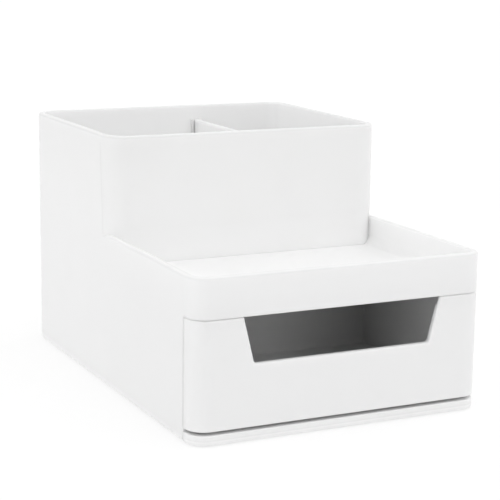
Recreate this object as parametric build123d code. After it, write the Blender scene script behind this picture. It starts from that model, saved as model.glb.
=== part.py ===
from build123d import *
import os

# Desk organizer: two tall cells at the back, a low tray in front of them and a
# drawer under the tray. Millimetres, Z up, the front faces -Y, and the origin is
# the middle of the footprint on the surface that the feet stand on.

# Overall sizes, measured up from the underside of the base
width = 120.0
depth = 173.0
tall_rise = 100.0
tray_rise = 61.0
tray_length = 79.3
tray_drop = 11.5
band_drop = 1.35
side_foot_rise = 0.3

# Walls and corners of the housing
wall = 2.4
tray_floor_thickness = 2.4
front_corner_radius = 7.2
tall_corner_radius = 9.7
back_corner_radius = 9.1
rim_outer_round = 1.2
rim_inner_round = 0.4
side_foot_round = 0.5
tray_floor_fillet = 4.0
cell_inner_radius_least = 1.0

# Witness line left by the mould along each front corner of the tall cells
witness_width = 0.35
witness_depth = 0.06
witness_top_drop = 3.2
witness_top_lean = 1.2
witness_foot_lean = -1.0

# Divider between the cells and the ribs it slips between
divider_thickness = 2.0
divider_offset = 16.5
divider_drop = 6.4
divider_round = 0.8
guide_rib_width = 1.2
guide_rib_reach = 1.5

# Base plate with its front lip, its runners and its snap tabs
base_thickness = 2.4
lip_rise = 3.65
lip_edge_round = 0.4
rail_width = 2.4
rail_offset = 34.0
rail_end_inset = 4.0
tab_width = 8.0
tab_thickness = 1.2
tab_rise = 7.0
tab_barb = 0.5
tab_barb_rise = 1.6
tab_setback = 9.0

# Drawer front
panel_thickness = 2.0
panel_return = 8.9
panel_top_round = 0.8
panel_foot_round = 0.4
panel_rebate_depth = 0.8
gap_under_panel = 1.35
cheek_thickness = 1.2
cheek_reach = 3.5
cheek_end_inset = 3.0

# Finger window in the drawer front
window_drop = 17.45
window_foot_width = 72.6
window_top_width = 81.2
window_corner_radius = 1.5
window_edge_round = 0.6

# Drawer bin
bin_foot_lift = 0.8
bin_top_drop = 3.45
bin_wall = 1.8
bin_floor = 1.7
bin_back_corner_radius = 2.6
bin_floor_fillet = 0.8
bin_rim_round = 0.5
drawer_travel = 60.0
stop_rib_width = 14.0
stop_rib_thickness = 1.4
stop_rib_setback = 4.0
stop_nub_thickness = 1.8
stop_nub_rise = 1.9
stop_overlap = 0.9

# Side ribs of the housing that guide the drawer
guide_thickness = 1.6
low_guide_rise = 12.0
guide_end_inset = 5.0
tip_guide_overlap = 1.4

# Screws and feet
screw_spacing_x = 60.0
boss_radius = 3.0
boss_height = 6.5
boss_bore_radius = 1.25
boss_sink = 0.4
screw_shank_radius = 1.2
screw_length = 6.0
screw_head_radius = 2.6
screw_head_height = 1.1
screw_slot_width = 0.8
screw_slot_length = 3.2
screw_slot_depth = 0.6
foot_radius = 5.0
foot_thickness = 1.6
foot_reach = 0.6
foot_edge_round = 0.3
foot_inset = 12.0

# Clearances
shut_gap = 0.2
fit_gap = 0.15
slide_gap = 0.3
bin_side_gap = 2.8
bin_back_gap = 0.9
divider_gap = 0.2
hole_gap = 0.3
foot_recess_gap = 0.2
bore_end_gap = 0.3

# Heights that follow
base_foot_z = foot_reach
base_top_z = base_foot_z + base_thickness
lip_top_z = base_foot_z + lip_rise
side_foot_z = base_foot_z + side_foot_rise
tall_rim_z = base_foot_z + tall_rise
tray_rim_z = base_foot_z + tray_rise
tray_floor_z = tray_rim_z - tray_drop
bay_roof_z = tray_floor_z - tray_floor_thickness
band_foot_z = bay_roof_z - band_drop
panel_foot_z = lip_top_z + gap_under_panel
panel_top_z = band_foot_z - shut_gap
bin_foot_z = panel_foot_z + bin_foot_lift
bin_floor_z = bin_foot_z + bin_floor
bin_top_z = band_foot_z - bin_top_drop
window_foot_z = band_foot_z - window_drop
divider_top_z = tall_rim_z - divider_drop
rail_top_z = bin_foot_z - slide_gap
stop_nub_top_z = base_top_z + stop_nub_rise
screw_seat_z = base_foot_z + screw_head_height

# Places that follow
half_width = width / 2
inner_half_width = half_width - wall
front_y = -depth / 2
back_y = depth / 2
tall_front_y = front_y + tray_length
cell_front_y = tall_front_y + wall
cell_back_y = back_y - wall
panel_back_y = front_y + panel_thickness
panel_end_y = front_y + panel_return
side_front_y = panel_end_y + shut_gap
bin_half_width = inner_half_width - bin_side_gap
bin_back_y = tall_front_y - bin_back_gap
stop_rib_y = bin_back_y - stop_rib_setback
stop_nub_y = stop_rib_y - stop_rib_thickness - drawer_travel - slide_gap

# Cutting tools reach this far past the face that they open, and an edge counts as
# lying on a face when its middle is this close to it
overshoot = 5.0
edge_reach = 0.15


def block(x_low, x_high, y_low, y_high, z_low, z_high):
    """Box between two corners."""
    box = Box(x_high - x_low, y_high - y_low, z_high - z_low, align=(Align.MIN, Align.MIN, Align.MIN))
    return Pos(x_low, y_low, z_low) * box


def post(x, y, radius, z_low, z_high):
    """Round upright post or bore."""
    cylinder = Cylinder(radius, z_high - z_low, align=(Align.CENTER, Align.CENTER, Align.MIN))
    return Pos(x, y, z_low) * cylinder


def mirrored(solid):
    """The solid and its twin on the other side of the middle plane."""
    return solid + mirror(solid, about=Plane.YZ)


def rounded_plan(half_x, y_low, y_high, front_radius, back_radius):
    """Rectangle in plan with one radius at the front corners and one at the back."""
    plan = Pos(0, (y_low + y_high) / 2) * Rectangle(2 * half_x, y_high - y_low)
    if front_radius > 0:
        plan = fillet(plan.vertices().sort_by(Axis.Y)[:2], front_radius)
    if back_radius > 0:
        plan = fillet(plan.vertices().sort_by(Axis.Y)[-2:], back_radius)
    return plan


def prism(plan, z_low, z_high):
    """Plan raised from one height to another."""
    return extrude(Pos(0, 0, z_low) * plan, amount=z_high - z_low)


def tray_shell():
    """Low part of the housing: outer walls with the tray pocket sunk in from above."""
    outer = prism(
        rounded_plan(half_width, front_y, back_y, front_corner_radius, back_corner_radius),
        side_foot_z,
        tray_rim_z,
    )
    outer = fillet(outer.faces().sort_by(Axis.Z)[0].edges(), side_foot_round)
    pocket = prism(
        rounded_plan(
            inner_half_width,
            front_y + wall,
            cell_front_y + tall_corner_radius,
            front_corner_radius - wall,
            tray_floor_fillet + wall,
        ),
        tray_floor_z,
        tray_rim_z + overshoot,
    )
    pocket = fillet(pocket.faces().sort_by(Axis.Z)[0].edges(), tray_floor_fillet)
    shell = outer - pocket
    shell = fillet(shell.faces().sort_by(Axis.Z)[-1].outer_wire().edges(), rim_outer_round)
    return fillet(shell.faces().sort_by(Axis.Z)[-1].inner_wires()[0].edges(), rim_inner_round)


def tall_block():
    """High part of the housing before the cells are opened."""
    plan = rounded_plan(half_width, tall_front_y, back_y, tall_corner_radius, back_corner_radius)
    tower = prism(plan, bay_roof_z, tall_rim_z)
    return fillet(tower.faces().sort_by(Axis.Z)[-1].outer_wire().edges(), rim_outer_round)


def cell_core():
    """The space inside the tall walls, from the base up through the rim."""
    front_radius = max(tall_corner_radius - wall, cell_inner_radius_least)
    back_radius = max(back_corner_radius - wall, cell_inner_radius_least)
    plan = rounded_plan(inner_half_width, cell_front_y, cell_back_y, front_radius, back_radius)
    return prism(plan, 0, tall_rim_z + overshoot)


def drawer_bay():
    """The space that the drawer slides in, with its full-width mouth."""
    bay = prism(
        rounded_plan(inner_half_width, front_y + wall, tall_front_y, front_corner_radius - wall, 0),
        0,
        bay_roof_z,
    )
    mouth = block(-width, width, front_y - overshoot, side_front_y, 0, band_foot_z)
    return bay + mouth


def base_seat():
    """The space that the base plate fills at the foot of the walls."""
    plan = rounded_plan(inner_half_width, side_front_y, cell_back_y, 0, back_corner_radius - wall)
    return prism(plan, 0, base_top_z)


def witness_groove():
    """Fine line down the side face where the front corner of the tall cells starts."""
    corner_y = tall_front_y + tall_corner_radius
    top_y = corner_y + witness_top_lean
    foot_y = corner_y + witness_foot_lean
    top_z = tall_rim_z - witness_top_drop
    outline = Polyline(
        (foot_y, tray_rim_z),
        (foot_y + witness_width, tray_rim_z),
        (top_y + witness_width, top_z),
        (top_y, top_z),
        close=True,
    )
    side_plane = Plane(origin=(half_width - witness_depth, 0, 0), x_dir=(0, 1, 0), z_dir=(1, 0, 0))
    return extrude(side_plane * make_face(outline), amount=overshoot)


def divider_guides():
    """Two pairs of ribs that hold the divider, on the front and the back cell wall."""
    slot_half = divider_thickness / 2 + divider_gap
    walls = (
        (cell_front_y - wall / 2, cell_front_y + guide_rib_reach),
        (cell_back_y - guide_rib_reach, cell_back_y + wall / 2),
    )
    ribs = (
        (divider_offset - slot_half - guide_rib_width, divider_offset - slot_half),
        (divider_offset + slot_half, divider_offset + slot_half + guide_rib_width),
    )
    guides = Part()
    for y_low, y_high in walls:
        for x_low, x_high in ribs:
            guides += block(x_low, x_high, y_low, y_high, base_top_z, divider_top_z)
    return guides


def screw_places():
    """Centres of the four base screws, close to the front and back walls of the cells."""
    front_place = cell_front_y + boss_radius - boss_sink
    back_place = cell_back_y - boss_radius + boss_sink
    half_spacing = screw_spacing_x / 2
    return [(x, y) for x in (-half_spacing, half_spacing) for y in (front_place, back_place)]


def screw_bosses():
    """Posts that the base screws bite into."""
    bosses = Part()
    for x, y in screw_places():
        bosses += post(x, y, boss_radius, base_top_z, base_top_z + boss_height)
    return bosses


def screw_bores():
    """Blind bores in the posts, open at their feet."""
    bores = Part()
    for x, y in screw_places():
        bores += post(x, y, boss_bore_radius, base_top_z, screw_seat_z + screw_length + bore_end_gap)
    return bores


def side_guide(reach, z_low):
    """Rib along a side wall of the drawer bay."""
    return block(
        inner_half_width - reach,
        inner_half_width + wall / 2,
        side_front_y + guide_end_inset,
        tall_front_y,
        z_low,
        z_low + guide_thickness,
    )


def side_guides():
    """Ribs on the side walls: a low one beside the bin, a high one over its rim."""
    low = side_guide(bin_side_gap - slide_gap, base_top_z + low_guide_rise)
    high = side_guide(bin_side_gap + tip_guide_overlap, bin_top_z + slide_gap)
    return mirrored(low + high)


def tab_place():
    """Low and high Y of the snap tabs at the sides of the base."""
    y_low = side_front_y + tab_setback
    return y_low, y_low + tab_width


def tab_pockets():
    """Notches in the side walls that the barbs of the base tabs click into."""
    y_low, y_high = tab_place()
    z_high = base_top_z + tab_rise
    pocket = block(
        inner_half_width - fit_gap,
        inner_half_width + tab_barb,
        y_low - fit_gap,
        y_high + fit_gap,
        z_high - tab_barb_rise - fit_gap,
        z_high + fit_gap,
    )
    return mirrored(pocket)


def housing():
    """Outer moulding: side and back walls, tall cells, tray and drawer bay."""
    body = tray_shell() + tall_block()
    body -= cell_core()
    body -= drawer_bay()
    body -= base_seat()
    rim = body.faces().sort_by(Axis.Z)[-1]
    body = fillet(rim.inner_wires()[0].edges(), rim_inner_round)
    body += divider_guides()
    body += screw_bosses()
    body -= screw_bores()
    body += side_guides()
    body -= tab_pockets()
    return body - mirrored(witness_groove())


def cell_divider():
    """Flat plate that stands on the base between the guide ribs."""
    plate = block(
        divider_offset - divider_thickness / 2,
        divider_offset + divider_thickness / 2,
        cell_front_y + divider_gap,
        cell_back_y - divider_gap,
        base_top_z,
        divider_top_z,
    )
    return fillet(plate.edges().filter_by(Axis.Y).sort_by(Axis.Z)[-2:], divider_round)


def base_lip():
    """Front edge of the base, which shows under the drawer."""
    y_high = side_front_y - fit_gap
    lip = prism(rounded_plan(half_width, front_y, y_high, front_corner_radius, 0), base_foot_z, lip_top_z)
    edges = lip.edges().filter_by(Axis.Z, reverse=True)
    edges = edges.filter_by(lambda edge: edge.center().Y < y_high - edge_reach)
    return fillet(edges, lip_edge_round)


def base_rails():
    """Two runners that the drawer bin slides on."""
    rail = block(
        rail_offset - rail_width / 2,
        rail_offset + rail_width / 2,
        panel_end_y,
        tall_front_y - rail_end_inset,
        base_foot_z,
        rail_top_z,
    )
    return mirrored(rail)


def stop_nub():
    """Raised stop that holds the open drawer by the rib under its bin."""
    return block(
        -stop_rib_width / 2,
        stop_rib_width / 2,
        stop_nub_y - stop_nub_thickness,
        stop_nub_y,
        base_foot_z,
        stop_nub_top_z,
    )


def base_snap_tabs():
    """Upright tabs beside the drawer whose barbs hold the front of the base."""
    y_low, y_high = tab_place()
    x_high = inner_half_width - fit_gap
    x_low = x_high - tab_thickness
    z_high = base_top_z + tab_rise
    tab = block(x_low, x_high, y_low, y_high, base_foot_z, z_high)
    barb = block(x_low, x_high + tab_barb, y_low, y_high, z_high - tab_barb_rise, z_high)
    tip = barb.edges().filter_by(Axis.Y).group_by(Axis.Z)[-1].sort_by(Axis.X)[-1]
    return mirrored(tab + chamfer(tip, tab_barb))


def foot_places():
    """Name and centre of each foot."""
    x = half_width - foot_inset
    y = back_y - foot_inset
    return {
        "foot_front_left": (-x, -y),
        "foot_front_right": (x, -y),
        "foot_back_left": (-x, y),
        "foot_back_right": (x, y),
    }


def base_plate():
    """Bottom moulding: floor of the cells and the bay, with the lip below the drawer."""
    floor_plan = rounded_plan(
        inner_half_width - fit_gap,
        panel_end_y - wall,
        cell_back_y - fit_gap,
        0,
        back_corner_radius - wall - fit_gap,
    )
    base = base_lip() + prism(floor_plan, base_foot_z, base_top_z)
    base += base_rails()
    base += stop_nub()
    base += base_snap_tabs()
    for x, y in screw_places():
        base -= post(x, y, screw_shank_radius + hole_gap, 0, base_top_z)
        base -= post(x, y, screw_head_radius + hole_gap, 0, screw_seat_z)
    for x, y in foot_places().values():
        base -= post(x, y, foot_radius + foot_recess_gap, 0, foot_thickness)
    return base


def base_screws():
    """Four pan-head screws, each with a cross slot, as one group."""
    slot = Box(screw_slot_length, screw_slot_width, 2 * screw_slot_depth)
    slot += Box(screw_slot_width, screw_slot_length, 2 * screw_slot_depth)
    group = []
    for x, y in screw_places():
        head = post(x, y, screw_head_radius, base_foot_z, screw_seat_z)
        shank = post(x, y, screw_shank_radius, screw_seat_z, screw_seat_z + screw_length)
        group.append(head + shank - Pos(x, y, base_foot_z) * slot)
    return Compound(children=group)


def foot(x, y):
    """Soft pad set into the underside of the base."""
    pad = post(x, y, foot_radius, 0, foot_thickness)
    return fillet(pad.edges().sort_by(Axis.Z)[0], foot_edge_round)


def finger_window():
    """Opening cut down from the top edge of the drawer front."""
    lean = (window_top_width - window_foot_width) / 2 / window_drop
    above_z = band_foot_z + overshoot
    above_half = window_top_width / 2 + lean * overshoot
    outline = Polyline(
        (-window_foot_width / 2, window_foot_z),
        (window_foot_width / 2, window_foot_z),
        (above_half, above_z),
        (-above_half, above_z),
        close=True,
    )
    plan = make_face(outline)
    plan = fillet(plan.vertices().sort_by(Axis.Y)[:2], window_corner_radius)
    front_plane = Plane(origin=(0, front_y - overshoot, 0), x_dir=(1, 0, 0), z_dir=(0, -1, 0))
    return extrude(front_plane * plan, amount=-(2 * overshoot + panel_thickness))


def panel_hollow():
    """The space behind the drawer front, between its two returns."""
    half_hollow = half_width - panel_thickness
    plan = rounded_plan(half_hollow, panel_back_y, back_y, front_corner_radius - panel_thickness, 0)
    return prism(plan, 0, tall_rim_z)


def rounded_front_edges(panel, face_index, radius):
    """Rounds the outer top or bottom edge of the drawer front, all but its two ends."""
    edges = panel.faces().sort_by(Axis.Z)[face_index].edges()
    edges = edges.filter_by(lambda edge: edge.center().Y < panel_end_y - edge_reach)
    return fillet(edges, radius)


def bin_rebate():
    """Step behind the top of the drawer front, over the rim of the bin."""
    half_rebate = bin_half_width + slide_gap
    y_low = panel_back_y - panel_rebate_depth
    return block(-half_rebate, half_rebate, y_low, panel_end_y, bin_top_z, panel_top_z + overshoot)


def panel_cheeks():
    """Two ribs behind the drawer front that clasp the sides of the bin."""
    x_low = bin_half_width + slide_gap
    cheek = block(
        x_low,
        x_low + cheek_thickness,
        panel_back_y - panel_thickness / 2,
        panel_back_y + cheek_reach,
        bin_foot_z + cheek_end_inset,
        bin_top_z - cheek_end_inset,
    )
    return mirrored(cheek)


def is_window_edge(edge):
    """Whether an edge of the drawer front runs round the finger window on its face."""
    middle = edge.center()
    return (
        abs(middle.Y - front_y) < edge_reach
        and window_foot_z - edge_reach < middle.Z < panel_top_z - panel_top_round
        and abs(middle.X) < window_top_width / 2
    )


def drawer_front():
    """Front of the drawer, wrapped round both front corners of the housing."""
    panel = prism(
        rounded_plan(half_width, front_y, panel_end_y, front_corner_radius, 0),
        panel_foot_z,
        panel_top_z,
    )
    panel = rounded_front_edges(panel, 0, min(panel_foot_round, panel_thickness / 2))
    panel = rounded_front_edges(panel, -1, min(panel_top_round, panel_thickness / 2))
    panel -= panel_hollow()
    panel -= bin_rebate()
    panel += panel_cheeks()
    panel -= finger_window()
    return fillet(panel.edges().filter_by(is_window_edge), window_edge_round)


def bin_hollow():
    """Inside of the bin, open at the top and towards the drawer front."""
    y_low = panel_back_y - overshoot
    plan = rounded_plan(
        bin_half_width - bin_wall,
        y_low,
        bin_back_y - bin_wall,
        0,
        bin_back_corner_radius - bin_wall,
    )
    hollow = prism(plan, bin_floor_z, bin_top_z + overshoot)
    edges = hollow.faces().sort_by(Axis.Z)[0].edges()
    edges = edges.filter_by(lambda edge: edge.center().Y > y_low + edge_reach)
    return fillet(edges, min(bin_floor_fillet, bin_back_corner_radius - bin_wall))


def drawer_bin():
    """Bin behind the drawer front: floor, two sides and a back, open to the front."""
    plan = rounded_plan(bin_half_width, panel_back_y, bin_back_y, 0, bin_back_corner_radius)
    shell = prism(plan, bin_foot_z, bin_top_z) - bin_hollow()
    shell = shell & panel_hollow()
    rim_edges = shell.faces().sort_by(Axis.Z)[-1].edges()
    rim_edges = rim_edges.filter_by(lambda edge: edge.center().Y > panel_back_y + bin_wall)
    shell = fillet(rim_edges, bin_rim_round)
    shell += block(
        -stop_rib_width / 2,
        stop_rib_width / 2,
        stop_rib_y - stop_rib_thickness,
        stop_rib_y,
        stop_nub_top_z - stop_overlap,
        bin_foot_z + bin_floor / 2,
    )
    return shell


def write(solid, name):
    """One file for each piece."""
    export_step(solid, f"parts/{name}.step")


def main():
    os.makedirs("parts", exist_ok=True)
    write(housing(), "housing")
    write(cell_divider(), "cell_divider")
    write(base_plate(), "base_plate")
    write(base_screws(), "base_screws")
    write(drawer_front(), "drawer_front")
    write(drawer_bin(), "drawer_bin")
    for name, (x, y) in foot_places().items():
        write(foot(x, y), name)


main()
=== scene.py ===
import math

import bpy
from mathutils import Matrix, Vector


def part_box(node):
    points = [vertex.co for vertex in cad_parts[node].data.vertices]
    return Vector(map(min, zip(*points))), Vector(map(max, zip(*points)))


# Desk organizer in white moulded plastic: two tall cells at the back, a low tray in
# front of them and a drawer under the tray. Metres, Z up, the front faces -Y.

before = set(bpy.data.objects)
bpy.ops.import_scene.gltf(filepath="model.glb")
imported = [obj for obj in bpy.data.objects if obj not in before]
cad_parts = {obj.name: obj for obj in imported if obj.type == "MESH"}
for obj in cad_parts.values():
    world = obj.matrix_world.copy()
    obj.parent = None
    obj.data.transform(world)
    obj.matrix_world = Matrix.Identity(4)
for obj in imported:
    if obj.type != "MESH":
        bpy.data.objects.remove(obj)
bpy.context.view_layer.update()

MM = 0.001

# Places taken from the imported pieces
HOUSING_LOW, HOUSING_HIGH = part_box("housing")
FRONT_FACE = HOUSING_LOW[1]
SIDE_FACE, BACK_FACE, TALL_TOP = HOUSING_HIGH
DIVIDER_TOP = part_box("cell_divider")[1][2]
DRAWER_FRONT_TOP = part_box("drawer_front")[1][2]
BIN_SIDE, BIN_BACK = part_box("drawer_bin")[1][:2]

# Places within the housing
TALL_FRONT = -7.2 * MM
TRAY_FLOOR = 50.1 * MM
TRAY_TOP = 61.6 * MM
TRAY_SIDE = SIDE_FACE - 2.4 * MM

# Camera of the product picture: its place, its turns and its field of view
CAMERA_PLACE = Vector((-0.27085, -0.55876, 0.17924))
CAMERA_YAW = math.radians(26.170)
CAMERA_PITCH = math.radians(11.708)
CAMERA_ROLL = math.radians(0.771)
FOCAL_PIXELS = 1545.85
FRAME_PIXELS = 500
SENSOR_WIDTH = 36.0
CLIP_START = 0.01
CLIP_END = 100.0

# Light tent: its even light, how narrow its soft boxes are, each box's direction and strength,
# and the strength at which the tent is seen
TENT_STRENGTH = 0.391
SOFT_BOX_FOCUS = 5.0
SOFT_BOXES = {
    "front_high": ((0.0, -1.0, 1.0), 0.74),
    "left_high": ((-1.0, 0.0, 1.0), 0.68),
    "left_low": ((-1.0, 0.0, 0.15), 0.47),
    "right_high": ((1.0, 0.0, 1.0), 0.80),
    "right_low": ((1.0, 0.0, 0.15), 0.39),
    "back_low": ((0.0, 1.0, 0.3), 0.41),
}
SEEN_STRENGTH = 1.0

# Lit white table under the object: its paper, its own glow, and the glow that is seen
TABLE_COLOUR = (0.45, 0.45, 0.45, 1.0)
TABLE_GLOW = 0.415
TABLE_SEEN_GLOW = 0.565
TABLE_SIZE = 8.0

# White plastic of the mouldings; all tints of one place together stay under WHITEST
WHITE = (0.93, 0.93, 0.928)
# The bin's white is a touch whiter than the rest, as painted light in the drawer's hollow
BIN_WHITE = (0.95, 0.95, 0.948)
WHITEST = 1.07
ROUGHNESS = 0.42
BASE_ROUGHNESS = 0.44
BIN_ROUGHNESS = 0.46

# How far light spreads under the skin: outside, in the divider, and inside the thin-walled cells
SKIN_DEPTH = 1.2 * MM
DIVIDER_SKIN_DEPTH = 2.4 * MM
CELL_SKIN_DEPTH = 4.0 * MM

# Surface of the plastic: mould grain, orange peel, flow patches and specks, each a noise; nearly
# all of a noise lies between NOISE_LOW and NOISE_HIGH, and the specks are its highest peaks
GRAIN = {"scale": 2600.0, "detail": 3.0, "roughness": 0.6}
PEEL = {"scale": 420.0}
FLOW = {"scale": 22.0, "detail": 3.0, "roughness": 0.45}
SPECK = {"scale": 900.0, "detail": 1.0}
NOISE_LOW, NOISE_HIGH = 0.3, 0.7
DARK_PATCH, LIGHT_PATCH = 0.985, 1.012
SPECK_LOW, SPECK_HIGH, SPECK_SHARE = 0.68, 0.8, 0.12
SMOOTH_PATCH, ROUGH_PATCH = -0.03, 0.04
GRAIN_ROUGHNESS = 0.03
PEEL_BUMP = (0.12, 0.02 * MM)
GRAIN_BUMP = (0.25, 0.012 * MM)

# Worn edges: how wide, how much lighter and how much smoother they are, and how far the
# rounded normal has turned from the flat one where an edge counts in full
EDGE_RADIUS = 0.45 * MM
EDGE_WEAR = 0.35
EDGE_ROUGHNESS = -0.08
EDGE_FULL = 0.8
EDGE_SAMPLES = 4

# Painted shade on the rims: their tops, the depth of their round, the depths between which it ends and
# those between which the flat top turns into the round, and the shaded tints of the top and of the
# round
RIM_TOPS = (TRAY_TOP, DIVIDER_TOP, TALL_TOP)
RIM_ROUND = 1.3 * MM
RIM_END_FROM, RIM_END_TO = 0.9 * RIM_ROUND, 1.1 * RIM_ROUND
RIM_FLAT_TO, RIM_ROUND_FROM = 0.15 * RIM_ROUND, 0.5 * RIM_ROUND
RIM_SLACK = 0.3 * MM
RIM_PAINTED_SHADE = 0.93
ROUND_PAINTED_SHADE = 0.88

# Painted light: other faces that look up are a touch whiter than the walls; slope at which a face
# counts in full
UP_PAINTED_LIGHT = 1.03
UP_SLOPE = 0.4

# Painted shade: the plastic is painted slowly greyer towards the top of the tall cells
HIGH_PAINTED_SHADE = 0.967
HIGH_FROM = 62.0 * MM
HIGH_TO = 98.0 * MM

# Inner walls of the tall cells: painted whiter as painted light, within a box whose faces lie inside
# the walls
CELL_PAINTED_LIGHT = 1.07
CELL_LOW = (-SIDE_FACE + 1.4 * MM, TALL_FRONT + 1.2 * MM, 2.0 * MM)
CELL_HIGH = (SIDE_FACE - 1.4 * MM, BACK_FACE - 1.4 * MM, TALL_TOP - 0.2 * MM)
CELL_EDGE = 0.8 * MM

# Painted light: the tall front is whiter where it meets the tray's floor and side: how far that
# reaches, the heights between which it fades by the side, how low it goes from the floor, and how far
# out
MEETING_PAINTED_LIGHT = 1.045
MEETING_REACH = 14.0 * MM
MEETING_FADE_FROM = TRAY_TOP - 2.0 * MM
MEETING_FADE_TO = TRAY_TOP + 4.0 * MM
MEETING_LOWEST = -0.5 * MM
MEETING_WIDEST = TRAY_SIDE + 0.9 * MM

# Painted shade in the slot at the tray's right corner: its place, how far it is dark and where the
# dark has ended
SLOT_Y = TALL_FRONT + 3.3 * MM
SLOT_CORE = 1.32 * MM
SLOT_DARK = 2.2 * MM
SLOT_CLEAR = 3.6 * MM
SLOT_PAINTED_SHADE = 0.90

# Painted highlight on edges of the drawer front, the window's foot and the front's top: their
# heights, and how far below them the highlight starts, is still full and has ended
PAINTED_HIGHLIGHT = 1.07
HIGHLIGHT_HEIGHTS = (28.9 * MM, DRAWER_FRONT_TOP)
HIGHLIGHT_FROM = 0.15 * MM
HIGHLIGHT_FULL = 0.25 * MM
HIGHLIGHT_END = 1.3 * MM
HIGHLIGHT_HALF_WIDTH = 36.8 * MM
HIGHLIGHT_FACE = FRONT_FACE + 0.7 * MM

# Painted shade and highlight of a fine step along the lip under the drawer: height and change of tint
# of each of its lines, and the half width of a line in full and where it has ended
LIP_PAINTED_LINES = ((2.45 * MM, -0.025), (1.85 * MM, 0.05))
LIP_LINE_CORE = 0.15 * MM
LIP_LINE_END = 0.35 * MM
LIP_FACE = FRONT_FACE + 6.5 * MM

# Fine line down each side where the front corner of the tall cells starts: (Y, Z) of its ends
LINE_FOOT = (1.675 * MM, TRAY_TOP)
LINE_TOP = (3.875 * MM, TALL_TOP - 3.2 * MM)
LINE_HALF_WIDTH = 0.9 * MM
LINE_TINT = 0.95
LINE_FACE = SIDE_FACE - 0.5 * MM

# Painted shade: the bin is painted greyest in its back right corner
BIN_CORNER = (BIN_SIDE - 0.8 * MM, BIN_BACK - 1.4 * MM)
BIN_CORNER_PAINTED_SHADE = 0.53
BIN_CORNER_REACH = 53.0 * MM

# Feet and screws: the blotch noise is all dark at the first level and all light at the second
BLOTCH_LOW, BLOTCH_HIGH = 0.35, 0.65


def camera_axes():
    """Right, up and forward of the camera."""
    forward = Vector((
        math.sin(CAMERA_YAW) * math.cos(CAMERA_PITCH),
        math.cos(CAMERA_YAW) * math.cos(CAMERA_PITCH),
        -math.sin(CAMERA_PITCH),
    ))
    level_right = Vector((math.cos(CAMERA_YAW), -math.sin(CAMERA_YAW), 0))
    level_up = level_right.cross(forward)
    right = level_right * math.cos(CAMERA_ROLL) + level_up * math.sin(CAMERA_ROLL)
    up = level_up * math.cos(CAMERA_ROLL) - level_right * math.sin(CAMERA_ROLL)
    return right, up, forward


def make_camera():
    """Camera at the picture's place."""
    camera = bpy.data.objects.new("camera", bpy.data.cameras.new("camera"))
    bpy.context.scene.collection.objects.link(camera)
    right, up, forward = camera_axes()
    turn = Matrix((right, up, -forward)).transposed().to_4x4()
    camera.matrix_world = Matrix.Translation(CAMERA_PLACE) @ turn
    camera.data.sensor_width = SENSOR_WIDTH
    camera.data.lens = SENSOR_WIDTH * FOCAL_PIXELS / FRAME_PIXELS
    camera.data.clip_start = CLIP_START
    camera.data.clip_end = CLIP_END
    bpy.context.scene.camera = camera


class Nodes:
    """Short way to add and link the nodes of one material or world."""

    def __init__(self, tree):
        self.tree = tree
        self.tree.nodes.clear()

    def add(self, kind, **settings):
        node = self.tree.nodes.new(kind)
        for name, value in settings.items():
            setattr(node, name, value)
        return node

    def link(self, output, socket):
        self.tree.links.new(output, socket)

    def value(self, socket, source):
        """A socket takes a number or colour, or is linked to another node's output."""
        if isinstance(source, bpy.types.NodeSocket):
            self.link(source, socket)
        else:
            socket.default_value = source

    def math(self, operation, *sources, clamp=False):
        node = self.add("ShaderNodeMath", operation=operation, use_clamp=clamp)
        for socket, source in zip(node.inputs, sources):
            self.value(socket, source)
        return node.outputs[0]

    def product(self, *factors):
        total = factors[0]
        for factor in factors[1:]:
            total = self.math("MULTIPLY", total, factor)
        return total

    def distance(self, first, second):
        """Distance from a line, from its two parts."""
        squares = self.math("MULTIPLY_ADD", first, first, self.math("MULTIPLY", second, second))
        return self.math("SQRT", squares)

    def parts(self, vector):
        """X, Y and Z of a vector."""
        node = self.add("ShaderNodeSeparateXYZ")
        self.link(vector, node.inputs[0])
        return node.outputs

    def vector_math(self, operation, first, second):
        node = self.add("ShaderNodeVectorMath", operation=operation)
        self.link(first, node.inputs[0])
        self.value(node.inputs[1], second)
        return node

    def spread(self, source, low, high, new_low, new_high):
        """Range of values stretched to another range."""
        node = self.add("ShaderNodeMapRange")
        for name, number in (
            ("Value", source),
            ("From Min", low),
            ("From Max", high),
            ("To Min", new_low),
            ("To Max", new_high),
        ):
            self.value(node.inputs[name], number)
        return node.outputs["Result"]

    def fade(self, source, start, end):
        """1 at the start and beyond, 0 at the end and beyond."""
        return self.spread(source, start, end, 1.0, 0.0)

    def tint(self, share, full):
        """No tint where the share is 0, the full tint where it is 1."""
        return self.spread(share, 0.0, 1.0, 1.0, full)

    def noise(self, place, scale, detail=2.0, roughness=0.5):
        node = self.add("ShaderNodeTexNoise")
        self.link(place, node.inputs["Vector"])
        node.inputs["Scale"].default_value = scale
        node.inputs["Detail"].default_value = detail
        node.inputs["Roughness"].default_value = roughness
        return node.outputs["Fac"]

    def blend(self, share, first, second, kind="MIX"):
        """Two colours mixed."""
        node = self.add("ShaderNodeMix", data_type="RGBA", blend_type=kind)
        self.value(node.inputs["Factor"], share)
        self.value(node.inputs["A"], first)
        self.value(node.inputs["B"], second)
        for output in node.outputs:
            if output.type == "RGBA":
                return output

    def bump(self, height, strength, distance, normal):
        """Bumps on top of a normal."""
        node = self.add("ShaderNodeBump")
        node.inputs["Strength"].default_value = strength
        node.inputs["Distance"].default_value = distance
        self.link(height, node.inputs["Height"])
        self.link(normal, node.inputs["Normal"])
        return node.outputs["Normal"]


def new_material(name):
    """Material with its nodes, its Principled shader linked to the output."""
    material = bpy.data.materials.new(name)
    material.use_nodes = True
    nodes = Nodes(material.node_tree)
    shader = nodes.add("ShaderNodeBsdfPrincipled")
    output = nodes.add("ShaderNodeOutputMaterial")
    nodes.link(shader.outputs["BSDF"], output.inputs["Surface"])
    return material, nodes, shader


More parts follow.
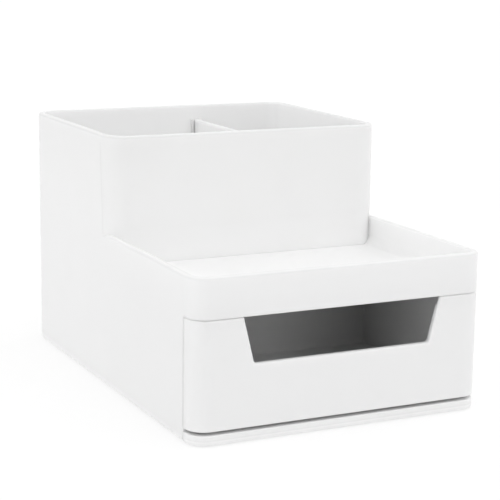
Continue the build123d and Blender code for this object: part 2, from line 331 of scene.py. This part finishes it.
def edge_share(nodes, radius):
    """How near a point is to a sharp edge, 0 on flat faces and 1 on the edge, and its round normal."""
    rounded = nodes.add("ShaderNodeBevel", samples=EDGE_SAMPLES)
    rounded.inputs["Radius"].default_value = radius
    plain = nodes.add("ShaderNodeNewGeometry").outputs["Normal"]
    alike = nodes.vector_math("DOT_PRODUCT", rounded.outputs["Normal"], plain)
    return nodes.fade(alike.outputs["Value"], EDGE_FULL, 1.0), rounded.outputs["Normal"]


def painted_up_light_and_rim_shade(nodes, place):
    """Painted shade and light on faces that look up: greyer on the rims, whiter elsewhere."""
    height = nodes.parts(place)[2]
    facing = nodes.parts(nodes.add("ShaderNodeNewGeometry").outputs["Normal"])[2]
    up = nodes.fade(facing, UP_SLOPE, 0.0)
    elsewhere = 1.0
    rims = 0.0
    for top in RIM_TOPS:
        depth = nodes.math("SUBTRACT", top, height)
        near = nodes.fade(depth, RIM_END_FROM, RIM_END_TO)
        near = nodes.product(near, nodes.math("GREATER_THAN", depth, -RIM_SLACK))
        rim = nodes.spread(depth, RIM_FLAT_TO, RIM_ROUND_FROM, RIM_PAINTED_SHADE, ROUND_PAINTED_SHADE)
        rims = nodes.math("MULTIPLY_ADD", near, rim, rims)
        elsewhere = nodes.math("SUBTRACT", elsewhere, near)
    return nodes.tint(up, nodes.math("MULTIPLY_ADD", elsewhere, UP_PAINTED_LIGHT, rims))


def painted_shade_towards_top(nodes, place):
    """Painted shade: slow greying towards the top."""
    return nodes.spread(nodes.parts(place)[2], HIGH_FROM, HIGH_TO, 1.0, HIGH_PAINTED_SHADE)


def cell_share(nodes, place):
    """1 on the walls of the tall cells that face inwards, 0 elsewhere."""
    share = 1.0
    for part, low, high in zip(nodes.parts(place), CELL_LOW, CELL_HIGH):
        above = nodes.fade(part, low + CELL_EDGE, low - CELL_EDGE)
        below = nodes.fade(part, high - CELL_EDGE, high + CELL_EDGE)
        share = nodes.product(above, below, share)
    minus_middle = [-0.5 * (low + high) for low, high in zip(CELL_LOW, CELL_HIGH)]
    from_middle = nodes.vector_math("ADD", place, minus_middle).outputs[0]
    facing = nodes.add("ShaderNodeNewGeometry").outputs["True Normal"]
    outward = nodes.vector_math("DOT_PRODUCT", from_middle, facing).outputs["Value"]
    return nodes.product(share, nodes.math("LESS_THAN", outward, 0.0))


def painted_cell_light(nodes, place):
    """Painted light: whiter walls inside the tall cells."""
    return nodes.tint(cell_share(nodes, place), CELL_PAINTED_LIGHT)


def painted_meeting_light_and_slot_shade(nodes, place):
    """Painted light where the tall front meets the tray, painted shade in the slot at its right
    corner.
    """
    across, along, height = nodes.parts(place)
    from_front = nodes.math("SUBTRACT", along, TALL_FRONT)
    from_floor = nodes.math("SUBTRACT", height, TRAY_FLOOR)
    from_side = nodes.math("SUBTRACT", across, TRAY_SIDE)
    from_slot = nodes.math("SUBTRACT", along, SLOT_Y)
    low = nodes.fade(height, MEETING_FADE_FROM, MEETING_FADE_TO)
    within = nodes.product(
        nodes.math("GREATER_THAN", from_floor, MEETING_LOWEST),
        nodes.math("LESS_THAN", nodes.math("ABSOLUTE", across), MEETING_WIDEST),
    )
    slot_way = nodes.distance(from_slot, from_side)
    floor_light = nodes.fade(nodes.distance(from_front, from_floor), 0.0, MEETING_REACH)
    side_light = nodes.product(nodes.fade(slot_way, 0.0, MEETING_REACH), low)
    light = nodes.product(
        nodes.math("MAXIMUM", floor_light, side_light),
        nodes.fade(slot_way, SLOT_CLEAR, SLOT_DARK),
        within,
    )
    dark = nodes.product(nodes.fade(slot_way, SLOT_CORE, SLOT_DARK), low, within)
    return nodes.product(nodes.tint(light, MEETING_PAINTED_LIGHT), nodes.tint(dark, SLOT_PAINTED_SHADE))


def line_tint(nodes, place):
    """Fine line down each side of the tall cells."""
    across, along, height = nodes.parts(place)
    middle = nodes.spread(height, LINE_FOOT[1], LINE_TOP[1], LINE_FOOT[0], LINE_TOP[0])
    away = nodes.math("ABSOLUTE", nodes.math("SUBTRACT", along, middle))
    share = nodes.product(
        nodes.fade(away, 0.0, LINE_HALF_WIDTH),
        nodes.math("GREATER_THAN", height, LINE_FOOT[1]),
        nodes.math("LESS_THAN", height, LINE_TOP[1]),
        nodes.math("GREATER_THAN", nodes.math("ABSOLUTE", across), LINE_FACE),
    )
    return nodes.tint(share, LINE_TINT)


def painted_lip_step(nodes, place):
    """Painted shade and highlight of a fine step along the lip: a darker line above a lighter one."""
    _, along, height = nodes.parts(place)
    front = nodes.math("LESS_THAN", along, LIP_FACE)
    tint = 1.0
    for line_height, change in LIP_PAINTED_LINES:
        away = nodes.math("ABSOLUTE", nodes.math("SUBTRACT", height, line_height))
        share = nodes.product(nodes.fade(away, LIP_LINE_CORE, LIP_LINE_END), front)
        tint = nodes.math("MULTIPLY_ADD", share, change, tint)
    return tint


def painted_edge_highlight(nodes, place):
    """Painted highlight: whiter edges along the foot of the window and the top of the drawer front."""
    across, along, height = nodes.parts(place)
    shares = []
    for edge_height in HIGHLIGHT_HEIGHTS:
        depth = nodes.math("SUBTRACT", edge_height, height)
        below = nodes.math("GREATER_THAN", depth, HIGHLIGHT_FROM)
        shares.append(nodes.product(nodes.fade(depth, HIGHLIGHT_FULL, HIGHLIGHT_END), below))
    window_share, top_share = shares
    window_foot = nodes.product(
        window_share,
        nodes.math("LESS_THAN", nodes.math("ABSOLUTE", across), HIGHLIGHT_HALF_WIDTH),
        nodes.math("LESS_THAN", along, HIGHLIGHT_FACE),
    )
    return nodes.tint(nodes.math("ADD", window_foot, top_share), PAINTED_HIGHLIGHT)


def painted_bin_corner_shade(nodes, place):
    """Painted shade: greyest in the bin's back right corner."""
    across, along, _ = nodes.parts(place)
    away = nodes.distance(
        nodes.math("SUBTRACT", across, BIN_CORNER[0]),
        nodes.math("SUBTRACT", along, BIN_CORNER[1]),
    )
    return nodes.tint(nodes.fade(away, 0.0, BIN_CORNER_REACH), BIN_CORNER_PAINTED_SHADE)


def plastic_colour(nodes, place, flow, edge, colour, tints):
    """White with faint flow patches, specks, worn edges and tints; most tints are painted light and
    shade.
    """
    darker = tuple(DARK_PATCH * part for part in colour) + (1.0,)
    lighter = tuple(LIGHT_PATCH * part for part in colour) + (1.0,)
    speck = nodes.noise(place, **SPECK)
    body = nodes.blend(nodes.spread(flow, NOISE_LOW, NOISE_HIGH, 0.0, 1.0), darker, lighter)
    speck_share = nodes.spread(speck, SPECK_LOW, SPECK_HIGH, 0.0, SPECK_SHARE)
    specked = nodes.blend(speck_share, body, darker)
    worn = nodes.blend(nodes.math("MULTIPLY", edge, EDGE_WEAR), specked, lighter)
    tint = nodes.product(*[tint_of(nodes, place) for tint_of in (painted_up_light_and_rim_shade, painted_shade_towards_top) + tints])
    tint = nodes.math("MINIMUM", tint, WHITEST)
    return nodes.blend(1.0, worn, tint, kind="MULTIPLY")


def moulded_plastic(
    name,
    tints,
    colour=WHITE,
    roughness=ROUGHNESS,
    patch_offset=(0.0, 0.0, 0.0),
    skin_depth=SKIN_DEPTH,
    cell_skin_depth=None,
):
    """White satin plastic: fine mould grain, faint flow patches, worn edges, own tints, most of them
    painted light and shade.
    """
    material, nodes, shader = new_material(name)
    place = nodes.add("ShaderNodeTexCoord").outputs["Object"]
    shifted = nodes.add("ShaderNodeMapping")
    nodes.link(place, shifted.inputs["Vector"])
    shifted.inputs["Location"].default_value = patch_offset
    grain = nodes.noise(place, **GRAIN)
    flow = nodes.noise(shifted.outputs["Vector"], **FLOW)
    edge, rounded_normal = edge_share(nodes, EDGE_RADIUS)

    tinted = plastic_colour(nodes, place, flow, edge, colour, tints)
    nodes.link(tinted, shader.inputs["Base Color"])
    if cell_skin_depth is not None:
        skin_depth = nodes.spread(cell_share(nodes, place), 0.0, 1.0, skin_depth, cell_skin_depth)
    nodes.value(shader.inputs["Subsurface Scale"], skin_depth)
    shader.inputs["Subsurface Weight"].default_value = 1.0
    shader.inputs["Subsurface Radius"].default_value = (1.0, 1.0, 1.0)

    smoothest, roughest = roughness + SMOOTH_PATCH, roughness + ROUGH_PATCH
    satin = nodes.spread(flow, NOISE_LOW, NOISE_HIGH, smoothest, roughest)
    fine = nodes.spread(grain, NOISE_LOW, NOISE_HIGH, -GRAIN_ROUGHNESS, GRAIN_ROUGHNESS)
    rubbed = nodes.math("MULTIPLY", edge, EDGE_ROUGHNESS)
    total = nodes.math("ADD", nodes.math("ADD", satin, fine), rubbed, clamp=True)
    nodes.link(total, shader.inputs["Roughness"])

    peel_bump = nodes.bump(nodes.noise(place, **PEEL), *PEEL_BUMP, rounded_normal)
    nodes.link(nodes.bump(grain, *GRAIN_BUMP, peel_bump), shader.inputs["Normal"])
    return material


def blotched_finish(
    name, grain, blotch, edge_radius, dark, light, rubbed, wear, roughness_of, roughness, bump
):
    """Grained finish with light and dark blotches and rubbed edges, and its shader."""
    material, nodes, shader = new_material(name)
    place = nodes.add("ShaderNodeTexCoord").outputs["Object"]
    noises = {"grain": nodes.noise(place, **grain), "blotch": nodes.noise(place, **blotch)}
    edge, rounded_normal = edge_share(nodes, edge_radius)
    lightness = nodes.spread(noises["blotch"], BLOTCH_LOW, BLOTCH_HIGH, 0.0, 1.0)
    body = nodes.blend(lightness, dark, light)
    worn = nodes.blend(nodes.math("MULTIPLY", edge, wear), body, rubbed)
    nodes.link(worn, shader.inputs["Base Color"])
    level = nodes.spread(noises[roughness_of], NOISE_LOW, NOISE_HIGH, *roughness)
    nodes.link(level, shader.inputs["Roughness"])
    nodes.link(nodes.bump(noises["grain"], *bump, rounded_normal), shader.inputs["Normal"])
    return material, shader


def soft_rubber(name):
    """Pale grey rubber of the feet with a dusty, rubbed face."""
    material, _ = blotched_finish(
        name,
        grain={"scale": 3200.0, "detail": 3.0, "roughness": 0.65},
        blotch={"scale": 260.0, "detail": 4.0, "roughness": 0.6},
        edge_radius=0.3 * MM,
        dark=(0.50, 0.50, 0.49, 1.0),
        light=(0.60, 0.60, 0.59, 1.0),
        rubbed=(0.68, 0.68, 0.67, 1.0),
        wear=0.5,
        roughness_of="blotch",
        roughness=(0.62, 0.82),
        bump=(0.45, 0.03 * MM),
    )
    return material


def screw_steel(name):
    """Zinc-plated steel with a blotched, rubbed face."""
    material, shader = blotched_finish(
        name,
        grain={"scale": 2400.0, "detail": 4.0, "roughness": 0.7},
        blotch={"scale": 700.0},
        edge_radius=0.15 * MM,
        dark=(0.52, 0.52, 0.50, 1.0),
        light=(0.63, 0.63, 0.62, 1.0),
        rubbed=(0.74, 0.74, 0.73, 1.0),
        wear=0.6,
        roughness_of="grain",
        roughness=(0.26, 0.42),
        bump=(0.3, 0.01 * MM),
    )
    shader.inputs["Metallic"].default_value = 1.0
    return material


def dress(node, material):
    """Gives a CAD node its finish."""
    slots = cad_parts[node].data.materials
    slots.clear()
    slots.append(material)


def seen_share(nodes):
    """1 for what the camera sees straight, mirrored or through something clear."""
    path = nodes.add("ShaderNodeLightPath")
    seen = nodes.math("MAXIMUM", path.outputs["Is Camera Ray"], path.outputs["Is Glossy Ray"])
    return nodes.math("MAXIMUM", seen, path.outputs["Is Transmission Ray"])


def make_world():
    """Light tent: even white light with broad soft boxes added round the object."""
    world = bpy.data.worlds.new("light_tent")
    bpy.context.scene.world = world
    world.use_nodes = True
    nodes = Nodes(world.node_tree)
    direction = nodes.add("ShaderNodeTexCoord").outputs["Generated"]
    level = TENT_STRENGTH
    for place, strength in SOFT_BOXES.values():
        towards = nodes.vector_math("DOT_PRODUCT", direction, Vector(place).normalized())
        off_centre = nodes.math("SUBTRACT", towards.outputs["Value"], 1.0)
        fall = nodes.math("EXPONENT", nodes.math("MULTIPLY", off_centre, SOFT_BOX_FOCUS))
        level = nodes.math("MULTIPLY_ADD", fall, strength, level)
    background = nodes.add("ShaderNodeBackground")
    background.inputs["Color"].default_value = (1.0, 1.0, 1.0, 1.0)
    total = nodes.spread(seen_share(nodes), 0.0, 1.0, level, SEEN_STRENGTH)
    nodes.link(total, background.inputs["Strength"])
    output = nodes.add("ShaderNodeOutputWorld")
    nodes.link(background.outputs["Background"], output.inputs["Surface"])


def make_table():
    """Lit white table under the object, seen as white, with the object's shadow on it."""
    bpy.ops.object.select_all(action="DESELECT")
    bpy.ops.mesh.primitive_plane_add(size=TABLE_SIZE)
    table = bpy.context.object
    table.name = "table"
    material = bpy.data.materials.new("lit_table")
    material.use_nodes = True
    nodes = Nodes(material.node_tree)
    paper = nodes.add("ShaderNodeBsdfDiffuse")
    paper.inputs["Color"].default_value = TABLE_COLOUR
    glow = nodes.add("ShaderNodeEmission")
    strength = nodes.spread(seen_share(nodes), 0.0, 1.0, TABLE_GLOW, TABLE_SEEN_GLOW)
    nodes.link(strength, glow.inputs["Strength"])
    both = nodes.add("ShaderNodeAddShader")
    nodes.link(paper.outputs["BSDF"], both.inputs[0])
    nodes.link(glow.outputs["Emission"], both.inputs[1])
    output = nodes.add("ShaderNodeOutputMaterial")
    nodes.link(both.outputs["Shader"], output.inputs["Surface"])
    table.data.materials.append(material)


# Finish of each moulding: its tints, most of them painted light and shade, and what differs from plain
# white plastic
MOULDINGS = {
    "housing": {
        "tints": (painted_cell_light, painted_meeting_light_and_slot_shade, line_tint),
        "cell_skin_depth": CELL_SKIN_DEPTH,
    },
    "cell_divider": {
        "tints": (painted_cell_light,),
        "patch_offset": (0.3, 0.1, 0.2),
        "skin_depth": DIVIDER_SKIN_DEPTH,
    },
    "base_plate": {
        "tints": (painted_lip_step,),
        "roughness": BASE_ROUGHNESS,
        "patch_offset": (0.1, 0.4, 0.3),
    },
    "drawer_front": {
        "tints": (painted_edge_highlight,),
        "patch_offset": (0.5, 0.2, 0.1),
    },
    "drawer_bin": {
        "tints": (painted_bin_corner_shade,),
        "colour": BIN_WHITE,
        "roughness": BIN_ROUGHNESS,
        "patch_offset": (0.2, 0.6, 0.4),
    },
}

bpy.context.scene.view_settings.view_transform = "Standard"
make_camera()
make_world()
make_table()

for node, finish in MOULDINGS.items():
    dress(node, moulded_plastic(node + "_plastic", **finish))
dress("base_screws", screw_steel("zinc_plated_steel"))
rubber = soft_rubber("foot_rubber")
for corner in ("front_left", "front_right", "back_left", "back_right"):
    dress("foot_" + corner, rubber)
